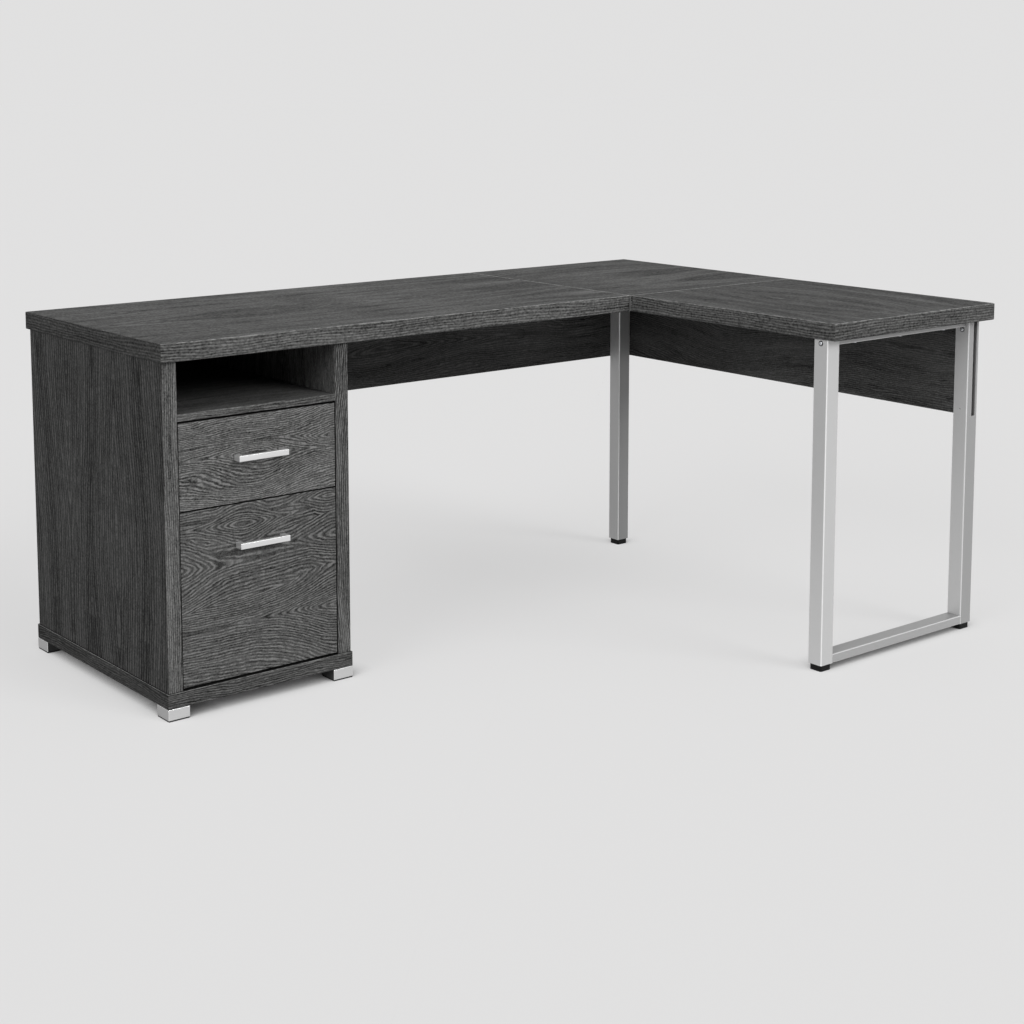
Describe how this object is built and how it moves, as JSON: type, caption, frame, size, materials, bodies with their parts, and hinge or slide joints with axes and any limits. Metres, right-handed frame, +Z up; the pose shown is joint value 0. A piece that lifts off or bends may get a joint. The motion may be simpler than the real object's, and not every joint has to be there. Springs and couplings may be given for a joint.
{
  "type": "l-shaped desk",
  "caption": "L-shaped office desk in charcoal woodgrain board with a drawer and file cabinet, open cubby, modesty panels, silver tube loop leg and corner leg.",
  "frame": {"origin": "floor under the middle of the desk's outline", "axes": "+X along the main run from the cabinet to the return, +Y from the user's side to the back, +Z up"},
  "size_m": [1.78, 1.25, 0.762],
  "materials": {
    "charcoal_top": "charcoal woodgrain laminate, satin",
    "charcoal_carcass": "charcoal woodgrain laminate, upright grain, satin",
    "charcoal_front": "charcoal woodgrain laminate with cathedral figure, satin",
    "charcoal_panel": "dark woodgrain laminate, satin",
    "drawer_board": "grey laminated drawer board",
    "dowel_wood": "plain beech",
    "silver_tube": "satin silver powder coat",
    "silver_foot": "satin nickel",
    "nickel_handle": "brushed nickel",
    "zinc_steel": "bright zinc plate",
    "black_plastic": "black moulded plastic",
    "white_nylon": "natural nylon",
    "grey_file_rail": "anodised strip",
    "dark_pad": "dark pad"
  },
  "bodies": {
    "desk": {"main_top": "charcoal_top", "corner_top": "charcoal_top", "return_top": "charcoal_top", "cabinet_left_side": "charcoal_carcass", "cabinet_right_side": "charcoal_carcass", "cabinet_base": "charcoal_carcass", "cabinet_shelf": "charcoal_carcass", "cabinet_back_panel": "charcoal_carcass", "main_modesty_panel": "charcoal_panel", "return_modesty_panel": "charcoal_panel", "cabinet_dowels": "dowel_wood", "inner_post": "silver_tube", "outer_post": "silver_tube", "loop_bottom_rail": "silver_tube", "loop_top_rail": "silver_tube", "corner_leg": "silver_tube", "corner_leg_plate": "silver_tube", "foot_covers": "silver_foot", "seam_joining_plates": "zinc_steel", "underside_screws": "zinc_steel", "cam_locks": "zinc_steel", "cam_bolts": "zinc_steel", "foot_screws": "zinc_steel", "modesty_brackets": "zinc_steel", "top_rail_screws": "zinc_steel", "rail_bolt": "zinc_steel", "panel_clamp_bolt": "zinc_steel", "cabinet_slide_screws": "zinc_steel", "box_slide_cabinet_members": "zinc_steel", "file_slide_cabinet_members": "zinc_steel", "foot_blocks": "black_plastic", "leg_glides": "black_plastic", "top_rail_insert": "black_plastic", "foot_pads": "dark_pad"},
    "box_drawer": {"box_drawer_front": "charcoal_front", "box_drawer_left_side": "drawer_board", "box_drawer_right_side": "drawer_board", "box_drawer_back": "drawer_board", "box_drawer_bottom": "drawer_board", "box_drawer_dowels": "dowel_wood", "box_drawer_handle": "nickel_handle", "box_handle_screws": "zinc_steel", "box_slide_drawer_members": "zinc_steel", "box_slide_screws": "zinc_steel"},
    "box_slide_middle": {"box_slide_middle_members": "zinc_steel", "box_slide_bearings": "white_nylon"},
    "file_drawer": {"file_drawer_front": "charcoal_front", "file_drawer_left_side": "drawer_board", "file_drawer_right_side": "drawer_board", "file_drawer_back": "drawer_board", "file_drawer_bottom": "drawer_board", "file_drawer_dowels": "dowel_wood", "file_drawer_handle": "nickel_handle", "file_handle_screws": "zinc_steel", "file_slide_drawer_members": "zinc_steel", "file_slide_screws": "zinc_steel", "file_hanging_rails": "grey_file_rail"},
    "file_slide_middle": {"file_slide_middle_members": "zinc_steel", "file_slide_bearings": "white_nylon"}
  },
  "joints": [
    {"name": "box_drawer_pull", "type": "slide", "parent": "desk", "child": "box_drawer", "axis": [0, -1, 0], "range_m": [0, 0.4]},
    {"name": "box_slide_extend", "type": "slide", "parent": "desk", "child": "box_slide_middle", "axis": [0, -1, 0], "range_m": [0, 0.2]},
    {"name": "file_drawer_pull", "type": "slide", "parent": "desk", "child": "file_drawer", "axis": [0, -1, 0], "range_m": [0, 0.4]},
    {"name": "file_slide_extend", "type": "slide", "parent": "desk", "child": "file_slide_middle", "axis": [0, -1, 0], "range_m": [0, 0.2]}
  ],
  "couplings": [
    {"joint": "box_slide_extend", "follows": "box_drawer_pull", "ratio": 0.5},
    {"joint": "file_slide_extend", "follows": "file_drawer_pull", "ratio": 0.5}
  ]
}
